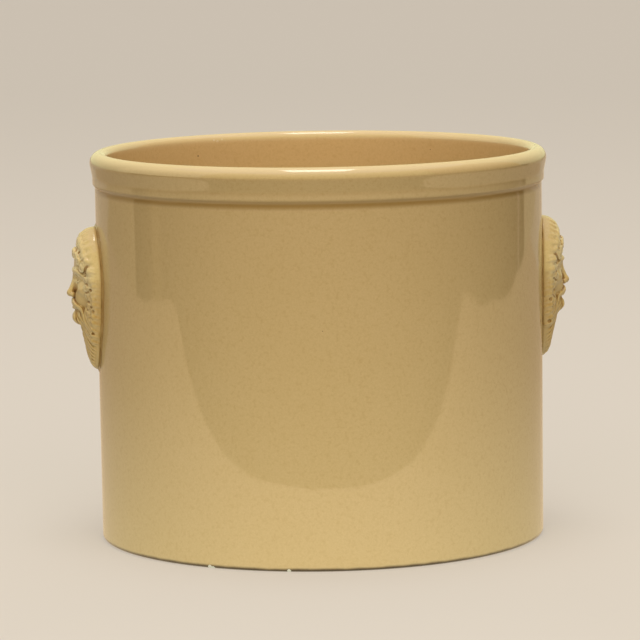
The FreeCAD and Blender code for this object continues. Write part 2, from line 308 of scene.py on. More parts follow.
    def relief(self, blur=0.0):
        """Height of the front over each (u, v)."""
        inside = self.f < 0
        any_in = inside.any(axis=2)
        top = self.n[2] - 1 - np.argmax(inside[:, :, ::-1], axis=2)
        top = np.clip(top, 0, self.n[2] - 2)
        i, j = np.meshgrid(np.arange(self.n[0]), np.arange(self.n[1]), indexing="ij")
        f0, f1 = self.f[i, j, top], self.f[i, j, top + 1]
        frac = np.clip(f0 / (f0 - f1 - 1e-9), 0, 1)
        hgt = self.ax[2][top] + frac * self.h
        hgt = np.where(any_in, hgt, 0.0)
        if blur > 0:
            q = blur / self.h
            m = int(math.ceil(2.5 * q))
            w = np.exp(-0.5 * (np.arange(-m, m + 1) / q) ** 2)
            w /= w.sum()
            for axis in (0, 1):
                pad = [(0, 0), (0, 0)]
                pad[axis] = (m, m)
                g = np.pad(hgt, pad, mode="edge")
                out = np.zeros_like(hgt)
                for t, ww in enumerate(w):
                    sl = [slice(None)] * 2
                    sl[axis] = slice(t, t + hgt.shape[axis])
                    out += ww * g[tuple(sl)]
                hgt = out
        return hgt

    def look(self, field2, u, v):
        a = (np.asarray(u) - self.lo[0]) / self.h
        b = (np.asarray(v) - self.lo[1]) / self.h
        a = np.clip(a, 0, self.n[0] - 1.001)
        b = np.clip(b, 0, self.n[1] - 1.001)
        i, j = a.astype(int), b.astype(int)
        s, t = a - i, b - j
        return (
            field2[i, j] * (1 - s) * (1 - t)
            + field2[i + 1, j] * s * (1 - t)
            + field2[i, j + 1] * (1 - s) * t
            + field2[i + 1, j + 1] * s * t
        )

    def at(self, p):
        """Distance values at points."""
        q = (p - self.lo) / self.h
        q = np.clip(q, 0, np.array(self.n) - 1.001)
        i = q.astype(int)
        r = (q - i).astype(np.float32)
        out = np.zeros(len(p), np.float32)
        for a in (0, 1):
            for b in (0, 1):
                for c in (0, 1):
                    w = (r[:, 0] if a else 1 - r[:, 0]) * (r[:, 1] if b else 1 - r[:, 1]) * (r[:, 2] if c else 1 - r[:, 2])
                    out += w * self.f[i[:, 0] + a, i[:, 1] + b, i[:, 2] + c]
        return out

    def slope(self, p, e=None):
        e = e or self.h
        g = np.stack([self.at(p + d) - self.at(p - d) for d in np.eye(3, dtype=np.float32) * e], axis=1)
        return g / (2 * e)

    def skin(self):
        """The zero surface as quads, one vertex to a cell, drawn onto the surface."""
        f = self.f
        ins = f < 0
        nx, ny, nz = (n - 1 for n in self.n)
        cnt = np.zeros((nx, ny, nz), np.int8)
        for a in (0, 1):
            for b in (0, 1):
                for c in (0, 1):
                    cnt += ins[a : a + nx, b : b + ny, c : c + nz]
        act = (cnt > 0) & (cnt < 8)
        ids = np.full(act.shape, -1, np.int64)
        cells = np.argwhere(act)
        ids[act] = np.arange(len(cells))
        acc = np.zeros((len(cells), 3), np.float64)
        num = np.zeros(len(cells), np.float64)
        corners = [(a, b, c) for a in (0, 1) for b in (0, 1) for c in (0, 1)]
        vals = {q: f[cells[:, 0] + q[0], cells[:, 1] + q[1], cells[:, 2] + q[2]].astype(np.float64) for q in corners}
        for q in corners:
            for axis in range(3):
                if q[axis]:
                    continue
                r = list(q)
                r[axis] = 1
                va, vb = vals[q], vals[tuple(r)]
                m = (va < 0) != (vb < 0)
                t = np.where(m, va / np.where(m, va - vb, 1), 0)
                pos = np.array(q, float)[None, :].repeat(len(cells), 0)
                pos[:, axis] += t
                acc += pos * m[:, None]
                num += m
        verts = (cells + acc / num[:, None]) * self.h + self.lo
        quads = []
        for axis in range(3):
            b_, c_ = [(1, 2), (2, 0), (0, 1)][axis]
            sl0 = [slice(1, self.n[i] - 1) for i in range(3)]
            sl1 = [slice(1, self.n[i] - 1) for i in range(3)]
            sl0[axis] = slice(0, self.n[axis] - 1)
            sl1[axis] = slice(1, self.n[axis])
            s0, s1 = ins[tuple(sl0)], ins[tuple(sl1)]
            edge = np.argwhere(s0 != s1)
            base = edge.copy()
            for i in range(3):
                if i != axis:
                    base[:, i] += 1
            out = s0[edge[:, 0], edge[:, 1], edge[:, 2]]
            k = []
            for db, dc in ((-1, -1), (0, -1), (0, 0), (-1, 0)):
                cell = base.copy()
                cell[:, b_] += db
                cell[:, c_] += dc
                k.append(ids[cell[:, 0], cell[:, 1], cell[:, 2]])
            k = np.stack(k, 1)
            k[~out] = k[~out][:, ::-1]
            quads.append(k)
        quads = np.concatenate(quads)
        quads = quads[(quads >= 0).all(1)]
        p = verts.astype(np.float32)
        for _ in range(2):
            g = self.slope(p)
            d = self.at(p)
            step = d[:, None] * g / (np.sum(g * g, 1)[:, None] + 1e-4)
            lim = self.h * 0.5
            p = p - np.clip(step, -lim, lim)
        return p, quads


def bend_line(pts, n):
    """A smooth line through a few points, n points long."""
    p = np.asarray(pts, float)
    p = np.vstack([2 * p[0] - p[1], p, 2 * p[-1] - p[-2]])
    m = len(p) - 3
    t = np.linspace(0, m - 1e-6, n)
    i = t.astype(int)
    s = (t - i)[:, None]
    a, b, c, d = p[i], p[i + 1], p[i + 2], p[i + 3]
    return 0.5 * (2 * b + (c - a) * s + (2 * a - 5 * b + 4 * c - d) * s**2 + (3 * b - 3 * c + d - a) * s**3)

# ------------------------------------------------------------------ the bearded mask
# u across the face, v up from the middle of the mask, w out of the wall; millimetres.
OUTLINE = [(-31.9, 0.0), (-31.0, 1.7), (-29.0, 3.7), (-25.8, 6.4), (-21.0, 9.5), (-15.5, 12.4), (-9.0, 14.9), (-3.0, 16.4),
           (3.0, 17.2), (9.0, 17.5), (15.0, 16.6), (20.5, 14.5), (25.0, 11.7), (28.5, 8.3), (30.9, 4.3), (31.8, 0.0)]


def half_at(v):
    return np.interp(v, [a for a, b in OUTLINE], [b for a, b in OUTLINE])


def rim_point(s):
    """A point of the right half of the outline, and the way out of it, by height."""
    v = s
    e = 0.3
    du = half_at(v + e) - half_at(v - e)
    n = np.array([2 * e, -du])
    n /= np.linalg.norm(n)
    return float(half_at(v)), v, n


def make_mask(step):
    c = Clay((-19.8, -34.0, -0.8), (19.8, 34.0, 15.6), step)
    rng = np.random.RandomState(11)

    # distance to the outline in the plane of the wall
    ring = bend_line([(b, a) for a, b in OUTLINE], 90)
    ring = np.vstack([ring, ring[::-1] * [-1, 1]])
    U, Vv = np.meshgrid(c.ax[0], c.ax[1], indexing="ij")
    best = np.full(U.shape, 1e9)
    wind = np.zeros(U.shape, bool)
    for (x0, y0), (x1, y1) in zip(ring, np.roll(ring, -1, 0)):
        dx, dy = x1 - x0, y1 - y0
        t = np.clip(((U - x0) * dx + (Vv - y0) * dy) / (dx * dx + dy * dy + 1e-12), 0, 1)
        best = np.minimum(best, (U - x0 - t * dx) ** 2 + (Vv - y0 - t * dy) ** 2)
        if abs(dy) > 1e-12:
            cross = ((y0 > Vv) != (y1 > Vv)) & (U < (x1 - x0) * (Vv - y0) / dy + x0)
            wind ^= cross
    flat = np.where(wind, -np.sqrt(best), np.sqrt(best)).astype(np.float32)

    # the pad of hair and beard with its steep, rounded edge
    thick = np.interp(c.ax[1], [-32, -28, -22, -12, 0, 10, 22, 32], [2.2, 2.7, 3.2, 3.9, 4.9, 5.6, 6.2, 6.0])[None, :, None].astype(np.float32)
    rho = np.minimum(4.4, thick - 0.4)
    w = c.ax[2][None, None, :]
    a_, b_ = flat[:, :, None] + 0.35 + rho, w - (thick - rho)
    pad = np.sqrt(np.maximum(a_, 0) ** 2 + np.maximum(b_, 0) ** 2) + np.minimum(np.maximum(a_, b_), 0) - rho
    c.f = np.minimum(c.f, pad.astype(np.float32))

    # head, hair and beard in the mass
    c.egg((0, 9.5, -0.2), (13.6, 20.6, 10.2), 2.2)
    c.egg((0, 15.5, 0.0), (13.2, 14.6, 9.4), 2.5)
    c.egg((0, -6.5, -0.4), (13.4, 15.5, 7.4), 3.0)
    c.egg((0, -17.0, -0.4), (9.6, 13.6, 4.6), 2.5)

    for s in (1, -1):
        # socket, brow, cheek, eye with its two lids
        c.egg((s * 5.3, 9.3, 11.6), (4.1, 2.5, 3.0), 1.6, carve=True)
        c.strand(bend_line([(s * 1.2, 10.9, 9.6), (s * 3.0, 12.2, 9.9), (s * 5.6, 12.8, 9.6), (s * 8.2, 12.0, 8.4), (s * 10.0, 10.2, 6.9)], 14),
                 np.interp(np.linspace(0, 1, 14), [0, 0.3, 0.7, 1], [0.75, 1.0, 0.9, 0.4]), 1.0)
        c.egg((s * 7.6, 4.6, 6.1), (3.5, 2.9, 3.3), 2.2)
        c.egg((s * 4.8, 0.9, 7.5), (2.9, 3.4, 2.7), 2.0)
        c.egg((s * 5.25, 9.75, 6.3), (2.7, 2.5, 2.9), 0.2)
        c.strand(bend_line([(s * 2.45, 9.35, 8.5), (s * 3.6, 10.8, 9.15), (s * 5.3, 11.5, 9.35), (s * 7.0, 10.9, 8.9), (s * 8.4, 9.5, 7.7)], 16),
                 np.interp(np.linspace(0, 1, 16), [0, 0.5, 1], [0.3, 0.52, 0.3]), 0.2)
        c.strand(bend_line([(s * 2.45, 9.35, 8.5), (s * 3.8, 8.3, 8.9), (s * 5.4, 7.9, 8.95), (s * 7.0, 8.3, 8.5), (s * 8.3, 9.4, 7.7)], 16),
                 np.interp(np.linspace(0, 1, 16), [0, 0.5, 1], [0.26, 0.42, 0.26]), 0.2)
    # nose
    c.strand(bend_line([(0, 11.8, 9.2), (0, 8.6, 9.7), (0, 5.4, 10.8), (0, 2.8, 11.9)], 12),
             np.linspace(1.15, 1.4, 12), 1.3)
    c.egg((0, 2.6, 11.9), (1.7, 1.55, 1.55), 0.8)
    for s in (1, -1):
        c.egg((s * 2.0, 2.0, 10.8), (1.15, 1.2, 1.35), 0.5)
        c.egg((s * 1.0, 0.7, 11.4), (0.55, 0.5, 0.9), 0.2, carve=True)
        c.strand([(s * 3.0, 2.6, 9.3), (s * 4.2, 0.4, 9.0), (s * 5.0, -1.8, 8.6)], [0.25, 0.35, 0.2], 1.0, carve=True)
    # lips, closed
    c.egg((0, -2.6, 8.3), (4.9, 2.6, 2.3), 1.6)
    c.strand(bend_line([(-4.1, -2.75, 9.0), (-2.1, -1.95, 10.1), (-0.7, -1.55, 10.6), (0, -1.8, 10.6), (0.7, -1.55, 10.6), (2.1, -1.95, 10.1), (4.1, -2.75, 9.0)], 22),
             np.interp(np.linspace(-1, 1, 22), [-1, -0.4, 0, 0.4, 1], [0.2, 0.62, 0.66, 0.62, 0.2]), 0.4)
    c.strand(bend_line([(-3.5, -3.0, 9.1), (-1.9, -3.6, 10.1), (0, -3.75, 10.5), (1.9, -3.6, 10.1), (3.5, -3.0, 9.1)], 18),
             np.interp(np.linspace(-1, 1, 18), [-1, 0, 1], [0.25, 0.85, 0.25]), 0.4)
    c.strand(bend_line([(-4.3, -2.8, 9.7), (-2.0, -2.5, 11.0), (0, -2.7, 11.4), (2.0, -2.5, 11.0), (4.3, -2.8, 9.7)], 18),
             np.full(18, 0.26), 0.2, carve=True)
    # chin under the beard
    c.egg((0, -8.0, 6.8), (4.6, 3.6, 3.3), 2.2)

    base = c.relief(0.45)

    def on(pts, lift):
        """Gives (u, v) points their w, lift above the mass."""
        pts = np.asarray(pts, float)
        return np.column_stack([pts, c.look(base, pts[:, 0], pts[:, 1]) + lift])

    def lock(pts, n, rad, lift, k=0.2):
        line = bend_line(pts, n)
        t = np.linspace(0, 1, n)
        r = np.interp(t, np.linspace(0, 1, len(rad)), rad)
        lf = np.interp(t, np.linspace(0, 1, len(lift)), lift) if np.ndim(lift) else lift
        c.strand(on(line, lf), r, k)

    def curl(u, v, size, spin, lift=0.0, r=0.62):
        """A snail curl: a roll wound once and a quarter about a bead."""
        t = np.linspace(0, 1, 16)
        ang = math.radians(90) + spin * (0.4 + t * 2 * math.pi * 1.25)
        rr = size * (1.0 - 0.62 * t)
        pts = np.column_stack([u + rr * np.cos(ang), v + rr * np.sin(ang)])
        wv = c.look(base, pts[:, 0], pts[:, 1])
        w0 = c.look(base, np.array([u]), np.array([v]))[0]
        wv = 0.6 * wv + 0.4 * w0 + lift + 0.5 * t
        c.egg((u, v, w0 + lift - 0.7), (size * 0.95, size * 0.95, 1.3), 0.6)
        c.strand(np.column_stack([pts, wv]), np.interp(t, [0, 0.2, 1], [r * 0.55, r, r * 0.8]), 0.14)
        c.egg((u, v, w0 + lift + 0.5), (r * 0.8,) * 3, 0.12)

    # hair combed over the edge: locks of two strands that run from the curls to the wall, each
    # ending in a small knob
    def edge_lock(v, s, reach, size, slant, knob):
        hu, hv, n = rim_point(v)
        n = n + np.array([0.0, slant])
        n /= np.linalg.norm(n)
        tan = np.array([-n[1], n[0]])
        for off, r, up in ((-0.52 * size, 0.66 * size, 0.0), (0.52 * size, 0.58 * size, -0.15)):
            m = np.array([hu, hv]) + tan * off
            line = [m + n * d + tan * off * (0.4 if d < -3.5 else 0.0) for d in (-reach, -reach * 0.66, -3.2, -1.7)]
            p3 = on(np.array(line) * [s, 1], up * size + 0.1)
            sag = np.array([0.0, -0.9 * size])
            low = [(s * (m + n * d + sag * q)[0], (m + n * d + sag * q)[1], wv) for d, q, wv in ((-1.0, 0.35, 3.4), (-0.9, 0.7, 2.3), (-1.0, 1.0, 1.3))]
            p3 = np.vstack([p3, low])
            c.strand(bend_line(p3, 18), np.interp(np.linspace(0, 1, 18), [0, 0.2, 0.6, 1], [0.35, 1, 0.9, 0.45]) * r, 0.52)
        if knob > 0:
            at = np.array([hu, hv]) - n * 1.5 + tan * 0.3 * size
            c.egg((s * at[0], at[1], 3.7), (1.25 * knob, 1.4 * knob, 1.35 * knob), 0.22)
            pit = np.array([hu, hv]) - n * 2.0 - tan * 1.0 * size
            wp = float(c.look(base, np.array([pit[0]]), np.array([pit[1]]))[0])
            c.egg((s * pit[0], pit[1], wp + 0.55), (0.8, 0.8, 1.0), 0.6, carve=True)

    for s in (1, -1):
        v, k = 14.2, 0
        while v > -19.0:
            size = 1.28 + 0.24 * math.sin(2.3 * k + (0.5 if s > 0 else 1.3)) + rng.uniform(-0.05, 0.05)
            edge_lock(v, s, 5.0, size, 0.06 - 0.06 * k, 0.0 if k < 2 else 0.9 + 0.15 * math.sin(4.1 * k + s))
            v -= 2.15 * size
            k += 1
        # broad soft locks round the crown
        for k in range(7):
            vv = 31.4 - 16.2 * ((k + 0.25) / 7.0) ** 1.7
            hu, hv, n = rim_point(vv)
            hu -= 0.3
            tan = np.array([-n[1], n[0]])
            j = rng.uniform(-0.3, 0.3, 3)
            r = 1.25 + 0.2 * math.sin(1.9 * k + s)
            pts = [np.array([hu, hv]) - n * d + tan * (o + jj) for d, o, jj in ((7.4, 1.5, j[0]), (5.0, 0.5, j[1]), (2.8, -0.3, j[2]))]
            p3 = on(np.array(pts) * [s, 1], -0.35)
            p3 = np.vstack([p3, [(s * (hu - n[0] * 1.5), hv - n[1] * 1.5, 3.6), (s * (hu - n[0] * 1.3), hv - n[1] * 1.3, 2.0)]])
            c.strand(bend_line(p3, 18), np.interp(np.linspace(0, 1, 18), [0, 0.3, 0.7, 1], [0.55, 1, 0.85, 0.5]) * r, 0.75)

        # curls with a drilled middle, set into the edge
        for v, back, size, pit in ((3.4, 1.7, 1.35, 0.0), (-4.4, 1.6, 1.5, 0.42), (-14.6, 1.5, 1.7, 0.44)):
            hu, hv, n = rim_point(v)
            top = np.interp(v, [-22, -12, 0, 10], [2.4, 3.0, 3.8, 4.4])
            mid = np.array([s * (hu - n[0] * back), hv - n[1] * back, top])
            axis = np.array([s * n[0] * 0.80, n[1] * 0.80, 0.60])
            axis /= np.linalg.norm(axis)
            e1 = np.cross(axis, [0, 1.0, 0])
            e1 /= np.linalg.norm(e1)
            e2 = np.cross(axis, e1)
            ang = np.linspace(0.8, 0.8 + 2 * math.pi * 1.15, 18)
            grow = size * np.linspace(1.15, 0.45, 18)
            c.egg(tuple(mid - axis * 0.6), (size, size, size), 0.7)
            c.strand(mid + axis * 0.35 + grow[:, None] * (np.cos(ang)[:, None] * e1 + np.sin(ang)[:, None] * e2), np.linspace(0.4, 0.62, 18), 0.4)
            if pit > 0:
                c.egg(tuple(mid + axis * 1.0 + e1 * 0.3), (pit * 1.2, pit * 1.5, 0.8), 0.55, carve=True)

    # waved tufts lie over the crown between the curls and the edge
    for s in (1, -1):
        for k, (vv, back, size) in enumerate([(27.6, 4.4, 1.55), (23.4, 4.1, 1.7), (18.9, 3.6, 1.75), (13.6, 3.0, 1.6), (8.9, 2.5, 1.45), (-0.4, 2.0, 1.35), (-9.6, 2.1, 1.4)]):
            hu, hv, n = rim_point(vv)
            tan = np.array([-n[1], n[0]])
            at = np.array([hu, hv]) - n * back
            wp = float(c.look(base, np.array([at[0]]), np.array([at[1]]))[0])
            c.egg((s * at[0], at[1], wp - 0.1), (size * 1.05, size * 0.9, size * 0.8), 0.6)
            tail = [at + n * (0.2 + 0.4 * j) + tan * (size * 0.8 * (1 - 0.8 * j)) for j in range(4)]
            p3 = on(np.array(tail) * [s, 1], 0.05)
            c.strand(bend_line(p3, 12), np.linspace(0.75, 0.35, 12), 0.4)

    # beard: locks leave a parting under the lip and run down and outwards to the edge
    for s in (1, -1):
        for layer, (n_l, lift0, rad0) in enumerate([(12, 0.12, 0.84), (6, 0.55, 0.78)]):
            for i in range(n_l):
                q = i / (n_l - 1.0)
                j = rng.uniform(-0.3, 0.3, 6)
                if layer == 0:
                    u0 = np.interp(q, [0, 0.35, 1], [9.4, 4.2, 0.3])
                    v0 = np.interp(q, [0, 0.35, 1], [-2.2, -6.6, -22.5])
                    v1 = v0 - np.interp(q, [0, 0.5, 1], [10.0, 11.5, 7.6])
                    u1 = min(half_at(v1) * 0.99, u0 + np.interp(q, [0, 0.35, 1], [3.6, 6.4, 3.0]))
                else:
                    u0 = np.interp(q, [0, 1], [4.2, 0.45])
                    v0 = np.interp(q, [0, 1], [-5.4, -18.5])
                    v1 = v0 - np.interp(q, [0, 1], [7.6, 9.8])
                    u1 = min(half_at(v1) * 0.8, u0 + np.interp(q, [0, 1], [4.2, 2.2]))
                p = [
                    (s * u0, v0),
                    (s * (u0 + (u1 - u0) * 0.10 + j[0]), v0 + (v1 - v0) * 0.30),
                    (s * (u0 + (u1 - u0) * 0.44 + j[1]), v0 + (v1 - v0) * 0.60),
                    (s * (u0 + (u1 - u0) * 0.86), v0 + (v1 - v0) * 0.84),
                    (s * u1, v1),
                ]
                lock(p, 18, [rad0 * 0.5, rad0, rad0, rad0 * 0.9, rad0 * 0.4], [lift0 - 0.25, lift0 + 0.15, lift0 + 0.1, lift0, lift0 - 0.3], 0.13)
    # the beard's tip
    for u0, u1, v1, r in ((1.9, 2.3, -28.9, 0.7), (-1.9, -2.3, -28.9, 0.7), (0.95, 1.0, -30.4, 0.75), (-0.95, -1.0, -30.4, 0.75), (0.0, 0.0, -31.3, 0.8)):
        lock([(u0 * 1.2, -22.0), (u0 * 1.7, -25.2), (u0 * 1.4, -28.0), (u1 * 0.6, v1)], 14, [r * 0.6, r, r, r * 0.5], [0.1, 0.3, 0.1, -0.3], 0.12)
    # tuft under the lip
    for u0 in (-1.65, -0.55, 0.55, 1.65):
        lock([(u0 * 0.7, -5.1), (u0, -6.7), (u0 * 1.35, -8.8), (u0 * 1.1, -11.4)], 12, [0.35, 0.66, 0.66, 0.3], [0.0, 0.6, 0.75, 0.5], 0.12)

    # moustache, from under the nose down past the corners of the mouth
    for s in (1, -1):
        for i, (du, dv, rr) in enumerate([(0.2, -1.75, 0.5), (0.1, 0.95, 0.6), (0.35, -0.9, 0.62), (0.0, 0.0, 0.68)]):
            pts = [
                (s * 0.4, -0.3 + dv * 0.25),
                (s * (2.3 + du * 0.5), -0.7 + dv * 0.7),
                (s * (4.7 + du), -2.3 + dv),
                (s * (6.6 + du), -5.2 + dv),
                (s * (7.7 + du * 0.6), -8.6 + dv * 0.9),
                (s * (9.1 + du * 0.5), -11.8 + dv * 0.8),
            ]
            lock(pts, 22, [rr * 0.5, rr, rr * 1.1, rr, rr * 0.85, rr * 0.4], [0.25, 0.75, 0.95, 1.0, 1.0, 0.7], 0.12)

    # sideburn curls between cheek and edge
    for s in (1, -1):
        for k, (u, v, size) in enumerate([(11.9, 9.6, 1.6), (12.2, 6.0, 1.75), (12.1, 2.2, 1.8), (11.7, -1.7, 1.75), (10.9, -5.4, 1.65)]):
            curl(s * u, v, size, s * (1 if k % 2 else -1), 0.3)

    # three rows of curls over the forehead and crown
    def row(n, a0, a1, ru, rv, cu, cv, size, lift, phase=0):
        for k in range(n):
            ang = math.radians(a0 + (a1 - a0) * (k + 0.5) / n)
            u, v = cu + ru * math.cos(ang), cv + rv * math.sin(ang)
            side = 1 if u >= 0 else -1
            curl(u + rng.uniform(-0.2, 0.2), v + rng.uniform(-0.2, 0.2), size * rng.uniform(0.93, 1.07), side * (1 if (k + phase) % 2 else -1), lift)

    row(7, 18, 162, 3.9, 3.2, 0, 24.6, 1.6, 0.35)
    row(9, 12, 168, 11.4, 15.0, 0, 10.6, 2.1, 0.45, 1)
    row(8, 16, 164, 11.2, 10.4, 0, 10.2, 2.05, 0.75)

    # the back lies against the bed of slip
    d = 0.4 - w
    e = np.maximum(0.5 - np.abs(c.f - d), 0) / 0.5
    c.f = np.maximum(c.f, d) + e * e * 0.125
    c.soften(0.17)
    c.mend()
    return c

# ------------------------------------------------------------------ wall, floor and seam
WALL_LINE = rounded(
    [
        (BORE_LOW + 1.2, 0.0, 0.35),
        (FOOT_R, 0.0, 1.6),
        (NECK_R, HIGH - BAND_LOW, 1.6),
        (RIM_R, HIGH - BAND_TOP, 1.1),
        (RIM_R, HIGH - FLARE, 8.0),
        (LIP_R + 0.93, HIGH, LIP_OUT - 0.001),
        (BORE_TOP, HIGH, LIP_INN - 0.001),
        (BORE_LOW, SEAT, 0.0),
        (BORE_LOW, 1.2, 0.35),
    ],
    0.3,
)
WALL_LINE = spaced(WALL_LINE, lambda r, z: 2.2 if 8 < z < 150 else 1.0)


def wall_shape(r, a, z):
    out = np.clip((r - 96.0) / 1.5, 0, 1)
    low = 0.10 * wave(a, z, 5) * out
    lip = np.clip((z - (HIGH - 12.0)) / 8.0, 0, 1)
    dr = low * (1 - 0.8 * lip) + 0.03 * np.sin(z / 1.9) * (1 - out) * (z > 25)
    dz = 0.04 * wave(a, 0 * z, 9) * lip * (z > 100)
    foot = np.clip(1 - z / 2.0, 0, 1)
    return dr * (1 - foot), dz


wall = lathe("wall", WALL_LINE, 480, wall_shape)
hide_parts("pot_wall")
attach(wall, "root")

FLOOR_LINE = [(0, FLOOR_TOP)]
FLOOR_LINE += [(float(r), FLOOR_TOP) for r in np.concatenate([[1.0, 2.5], np.arange(5, 90, 3.0), [90.2]])]
FLOOR_LINE += [(90.9, FLOOR_TOP - 0.4), (90.9, FLOOR_LOW + 0.3), (90.6, FLOOR_LOW)]
FLOOR_LINE += [(float(r), FLOOR_LOW) for r in np.arange(88, 3, -3.0)] + [(2.0, FLOOR_LOW), (0, FLOOR_LOW)]


def floor_shape(r, a, z):
    up = (z > 6).astype(float)
    ring = 0.09 * np.sin(r / 2.35 + 0.25 * np.sin(a)) * np.clip(r / 12.0, 0, 1) * np.clip((88 - r) / 6.0, 0, 1)
    sag = 0.12 * wave(a, r, 21) * np.clip(r / 20.0, 0, 1) * np.clip((86 - r) / 10, 0, 1)
    under = 0.05 * np.sin(r / 1.7) * np.clip((88 - r) / 6.0, 0, 1) * np.clip(r / 10.0, 0, 1)
    return 0 * r, np.where(up > 0, ring + sag, under)


base_plate = dish("floor", np.array(FLOOR_LINE), 192, floor_shape)
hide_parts("pot_floor")
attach(base_plate, "root")

t = np.linspace(math.pi * 1.5, math.pi * 2, 22)
COIL_LINE = [(80.2, FLOOR_TOP - 0.35), (81.2, FLOOR_TOP - 0.02)]
COIL_LINE += [(81.6 + 9.45 * math.cos(x), FLOOR_TOP + 0.03 + 9.45 + 9.45 * math.sin(x)) for x in t]
COIL_LINE += [(91.12, 20.6), (91.4, 21.2), (91.4, FLOOR_TOP - 0.35)]
COIL_LINE = np.array(COIL_LINE)


def coil_shape(r, a, z):
    face = np.clip(1 - abs(np.hypot(r - 81.6, z - 19.48) - 9.45) / 0.2, 0, 1) * (z > 10.2) * (z < 19)
    d = 0.16 * wave(a * 3, z, 33) * face
    return d * 0.7, d * 0.7


coil = lathe("coil", COIL_LINE, 360, coil_shape)
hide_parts("seam_coil")
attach(coil, "root")


# ------------------------------------------------------------------ masks on the wall
clay = make_mask(0.28)
skin_p, skin_q = clay.skin()
# only the main surface: no closed pockets inside it
shell = np.arange(len(skin_p))
while True:
    lower = shell.copy()
    np.minimum.at(lower, skin_q.ravel(), np.repeat(shell[skin_q].min(1), 4))
    lower = lower[lower]
    if (lower == shell).all():
        break
    shell = lower
skin_q = skin_q[shell[skin_q[:, 0]] == np.bincount(shell[skin_q[:, 0]]).argmax()]
used, skin_q = np.unique(skin_q, return_inverse=True)
skin_p, skin_q = skin_p[used], skin_q.reshape(-1, 4)
g = clay.slope(skin_p)
skin_n = g / (np.linalg.norm(g, axis=1)[:, None] + 1e-9)


def shelter(points, normals):
    """How deep a point lies between its neighbours: 0 on open ground and highs, 1 in a crevice."""
    deep = np.zeros(len(points))
    for reach, weight, full in ((0.45, 0.35, 0.96), (0.9, 0.4, 0.95), (1.8, 0.25, 0.84), (3.2, 0.35, 0.78)):
        gap = clay.at(points + normals * reach) / reach
        deep += weight * np.clip((full - gap) / 0.48, 0, 1)
    return np.clip(deep, 0, 1)


def crest(points, normals):
    """1 on sharp highs, where the glaze runs thin."""
    inner = -clay.at(points - normals * 0.9) / 0.9
    return np.clip((0.82 - inner) / 0.5, 0, 1)


# hollow drives painted shade on the masks, partly glaze that pools in hollows
hollow = shelter(skin_p, skin_n)
# painted shade along the foot of the edge, where glaze also pools
hollow = np.maximum(hollow, 0.62 * np.clip((1.9 - skin_p[:, 2]) / 1.0, 0, 1))
highs = crest(skin_p, skin_n) * (skin_p[:, 2] > 1.0)


def onto_wall(p, side):
    """Bends flat mask coordinates round the pot; side is 1 for the mask on +X and -1 for -X."""
    z = MASK_MID + p[:, 1]
    rw = wall_r(z)
    a = p[:, 0] / (rw + 3.0)
    r = rw + p[:, 2]
    return np.column_stack([side * r * np.cos(a), side * r * np.sin(a), z])


masks = []
for side, tag in ((1, "right"), (-1, "left")):
    mask = mesh_object("bearded_mask_" + tag, onto_wall(skin_p, side), skin_q, {"hollow": hollow, "highs": highs})
    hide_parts("mask_" + tag)
    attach(mask, "root")
    masks.append(mask)

# slip squeezed out round each mask, smoothed with a wet brush and covered by pooled glaze
edge = bend_line([(b, a) for a, b in OUTLINE], 150)[1:-1]
edge = np.vstack([edge, (edge[::-1] * [-1, 1])])
for _ in range(3):
    edge = 0.25 * np.roll(edge, 1, 0) + 0.5 * edge + 0.25 * np.roll(edge, -1, 0)
tangent = np.roll(edge, -1, 0) - np.roll(edge, 1, 0)
out_n = np.column_stack([tangent[:, 1], -tangent[:, 0]])
out_n /= np.linalg.norm(out_n, axis=1)[:, None]
if np.mean(np.sum(out_n * edge, 1)) < 0:
    out_n = -out_n
STEPS = np.array([-1.6, -1.0, -0.6, -0.25, 0.1, 0.45, 0.8, 1.2, 1.6, 2.1, 2.6])
along = np.cumsum(np.linalg.norm(edge - np.roll(edge, 1, 0), axis=1))
full = 1.0 + 0.22 * np.sin(along / 3.1) + 0.16 * np.sin(along / 1.27 + 1.0)
rows = []
for d in STEPS:
    wide = 1.35 * (0.8 + 0.2 * full)
    top = 0.72 * full * np.exp(-((max(d, -0.5) + 0.5) / wide) ** 2) - 0.05
    uv = edge + out_n * d
    rows.append(np.column_stack([uv, np.maximum(top, -0.06)]))
for d in STEPS[::-1]:
    rows.append(np.column_stack([edge + out_n * d, np.full(len(edge), -0.35)]))
rows = np.stack(rows, 1)
n_e, n_r = rows.shape[:2]
ii = np.arange(n_e)[:, None]
jj = np.arange(n_r)[None, :]
i2, j2 = (ii + 1) % n_e, (jj + 1) % n_r
slip_q = np.stack([ii * n_r + jj, i2 * n_r + jj, i2 * n_r + j2, ii * n_r + j2], -1).reshape(-1, 4)
slip_p = rows.reshape(-1, 3)
slips = []
for side, tag in ((1, "right"), (-1, "left")):
    pts = onto_wall(slip_p, side)
    quad = slip_q
    # outward faces: check one on top
    k = slip_q[4]
    nrm = np.cross(pts[k[1]] - pts[k[0]], pts[k[2]] - pts[k[0]])
    if nrm @ np.array([side, 0, 0]) < 0:
        quad = slip_q[:, ::-1]
    bead = mesh_object("slip_bead_" + tag, pts, quad)
    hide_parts("slip_bed_" + tag)
    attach(bead, "root")
    slips.append(bead)


